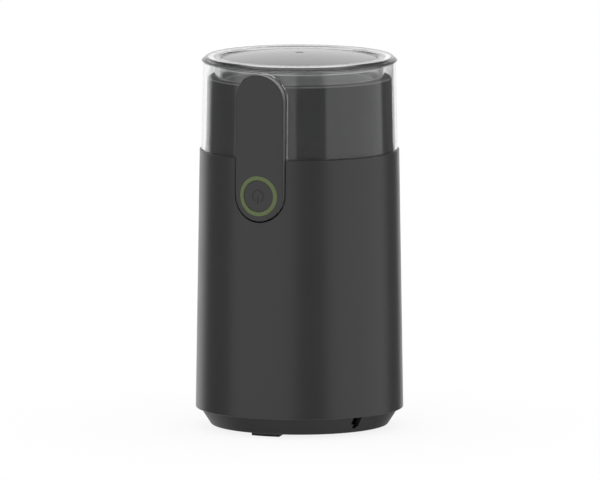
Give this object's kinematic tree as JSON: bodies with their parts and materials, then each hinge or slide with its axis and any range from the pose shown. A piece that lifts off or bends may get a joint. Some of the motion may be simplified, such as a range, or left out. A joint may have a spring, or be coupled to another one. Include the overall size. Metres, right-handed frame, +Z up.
{
  "type": "electric spice grinder",
  "caption": "Round tapered electric blade grinder with a clear lift-off lid, a stadium-shaped front panel and a ringed push button.",
  "frame": {"origin": "centre of the three feet's resting plane, on the motor's axis", "axes": "+Z up along the motor's axis, -Y towards the front, where the button is"},
  "size_m": [0.1, 0.1, 0.1811],
  "materials": {
    "body_plastic": "fine satin dark grey plastic",
    "panel_plastic": "smooth dark grey plastic with polished cut edges",
    "base_plastic": "matt dark grey plastic",
    "ring_plastic": "satin olive green plastic",
    "lid_plastic": "clear polished plastic",
    "disc_plastic": "glossy dark domed plastic",
    "inner_plastic": "plain black moulded plastic",
    "bowl_steel": "satin stainless steel",
    "blade_steel": "ground stainless steel",
    "plain_steel": "bright machined steel",
    "core_steel": "stacked sheet steel",
    "bearing_bronze": "oiled sintered bronze",
    "brass": "drawn brass",
    "winding_copper": "lacquered copper wire",
    "carbon": "matt carbon",
    "rubber": "matt black rubber",
    "spring_steel": "drawn spring wire",
    "capacitor_yellow": "moulded yellow plastic",
    "lead_plastic": "smooth insulation"
  },
  "bodies": {
    "housing": {"base_cover": "base_plastic", "foot_front": "rubber", "foot_rear_right": "rubber", "foot_rear_left": "rubber", "base_screws": "plain_steel", "body_shell": "body_plastic", "collar": "body_plastic", "grinding_bowl": "bowl_steel", "bowl_gasket": "rubber", "bowl_clamp_bush": "plain_steel", "bowl_clamp_nut": "plain_steel", "shaft_seal": "rubber", "front_panel": "panel_plastic", "button_ring": "ring_plastic", "pulse_switch": "inner_plastic", "switch_bracket": "inner_plastic", "switch_bracket_screws": "plain_steel", "interlock_switch": "inner_plastic", "motor_mount_right": "rubber", "motor_mount_rear": "rubber", "motor_mount_left": "rubber", "motor_mount_screws": "plain_steel", "upper_motor_bracket": "plain_steel", "lower_motor_bracket": "inner_plastic", "motor_bolts": "plain_steel", "upper_bearing": "bearing_bronze", "lower_bearing": "bearing_bronze", "stator_core": "core_steel", "field_coil_right": "winding_copper", "field_coil_left": "winding_copper", "brush_holder_right": "brass", "brush_holder_left": "brass", "brush_spring_right": "spring_steel", "brush_spring_left": "spring_steel", "button_spring": "spring_steel", "interlock_spring": "spring_steel", "terminal_block": "inner_plastic", "suppression_capacitor": "capacitor_yellow", "thermal_cutout": "plain_steel", "supply_lead": "lead_plastic", "switch_link_lead": "lead_plastic", "motor_lead": "lead_plastic", "brush_lead": "lead_plastic"},
    "lid": {"lid_cover": "lid_plastic", "lid_disc": "disc_plastic"},
    "rotor": {"shaft": "plain_steel", "armature_core": "core_steel", "armature_winding": "winding_copper", "commutator": "winding_copper", "cooling_fan": "inner_plastic", "blade": "blade_steel", "blade_spacer": "plain_steel", "blade_washer": "plain_steel", "blade_nut": "plain_steel"},
    "button": {"power_button": "panel_plastic"},
    "pulse_plunger": {"pulse_switch_plunger": "inner_plastic"},
    "lid_rod": {"interlock_rod": "inner_plastic"},
    "lid_switch_plunger": {"interlock_plunger": "inner_plastic"},
    "right_brush": {"brush_right": "carbon"},
    "left_brush": {"brush_left": "carbon"}
  },
  "joints": [
    {"name": "lid_lift", "type": "slide", "parent": "housing", "child": "lid", "axis": [0, 0, 1], "range_m": [0, 0.06]},
    {"name": "rotor_spin", "type": "hinge", "parent": "housing", "child": "rotor", "pos_m": [0, 0, 0.13], "axis": [0, 0, 1], "continuous": true},
    {"name": "button_press", "type": "slide", "parent": "housing", "child": "button", "axis": [0, 1, 0], "range_m": [0, 0.0015], "stiffness_N_per_m": 400, "springref_m": -0.002, "deforming": ["button_spring"]},
    {"name": "pulse_plunger_press", "type": "slide", "parent": "housing", "child": "pulse_plunger", "axis": [0, 1, 0], "range_m": [0, 0.0015]},
    {"name": "lid_rod_rise", "type": "slide", "parent": "housing", "child": "lid_rod", "axis": [0, 0, 1], "range_m": [0, 0.0015], "deforming": ["interlock_spring"]},
    {"name": "lid_plunger_rise", "type": "slide", "parent": "housing", "child": "lid_switch_plunger", "axis": [0, 0, 1], "range_m": [0, 0.0015]},
    {"name": "right_brush_slide", "type": "slide", "parent": "housing", "child": "right_brush", "axis": [1, 0, 0], "range_m": [0, 0.0025], "stiffness_N_per_m": 150, "springref_m": -0.003, "deforming": ["brush_spring_right"]},
    {"name": "left_brush_slide", "type": "slide", "parent": "housing", "child": "left_brush", "axis": [-1, 0, 0], "range_m": [0, 0.0025], "stiffness_N_per_m": 150, "springref_m": -0.003, "deforming": ["brush_spring_left"]}
  ],
  "couplings": [
    {"joint": "pulse_plunger_press", "follows": "button_press", "ratio": 1},
    {"joint": "lid_rod_rise", "follows": "lid_lift", "ratio": 0.025},
    {"joint": "lid_plunger_rise", "follows": "lid_lift", "ratio": 0.025}
  ]
}
